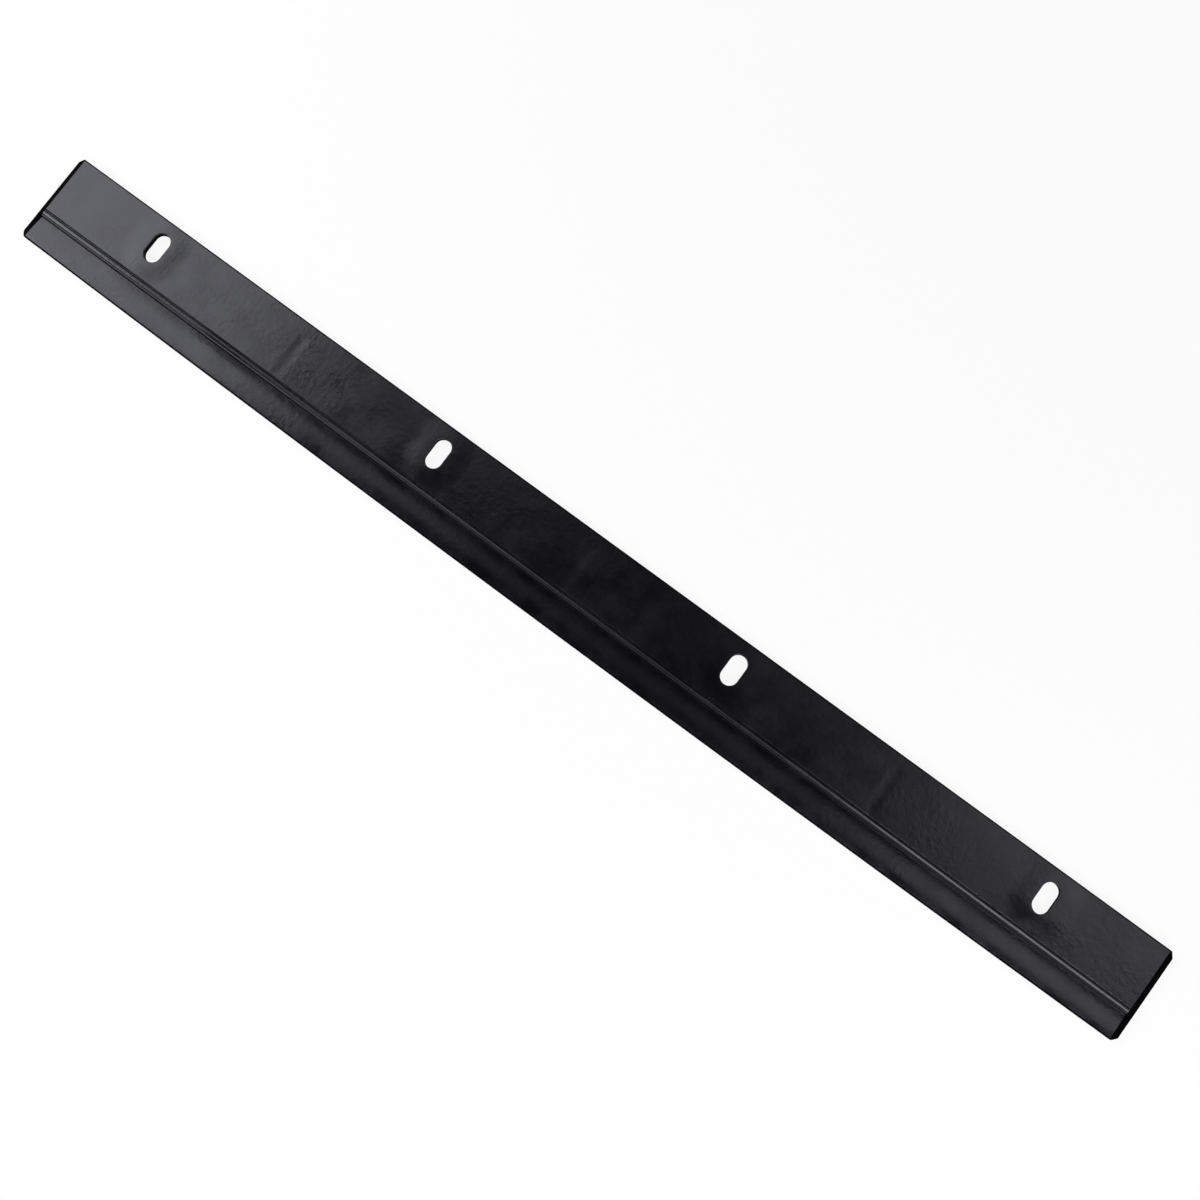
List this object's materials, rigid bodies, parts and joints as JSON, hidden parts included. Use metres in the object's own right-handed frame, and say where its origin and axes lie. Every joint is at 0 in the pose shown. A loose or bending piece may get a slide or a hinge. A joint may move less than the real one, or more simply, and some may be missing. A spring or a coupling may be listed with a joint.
{
  "type": "snow blower scraper blade",
  "caption": "Pressed steel scraper blade for a snow blower housing: a slotted flat web, a step along its length and a thin crowned scraping lip.",
  "frame": {"origin": "under the middle of the blade, on the surface that it lies on, halfway between the slotted edge and the middle of the scraping edge", "axes": "+X along the blade, +Y across it towards the slotted edge, +Z out of its front face"},
  "size_m": [0.658, 0.0514, 0.0056],
  "materials": {
    "black_coated_steel": "satin"
  },
  "bodies": {
    "root": {"scraper_blade": "black_coated_steel"}
  },
  "joints": []
}
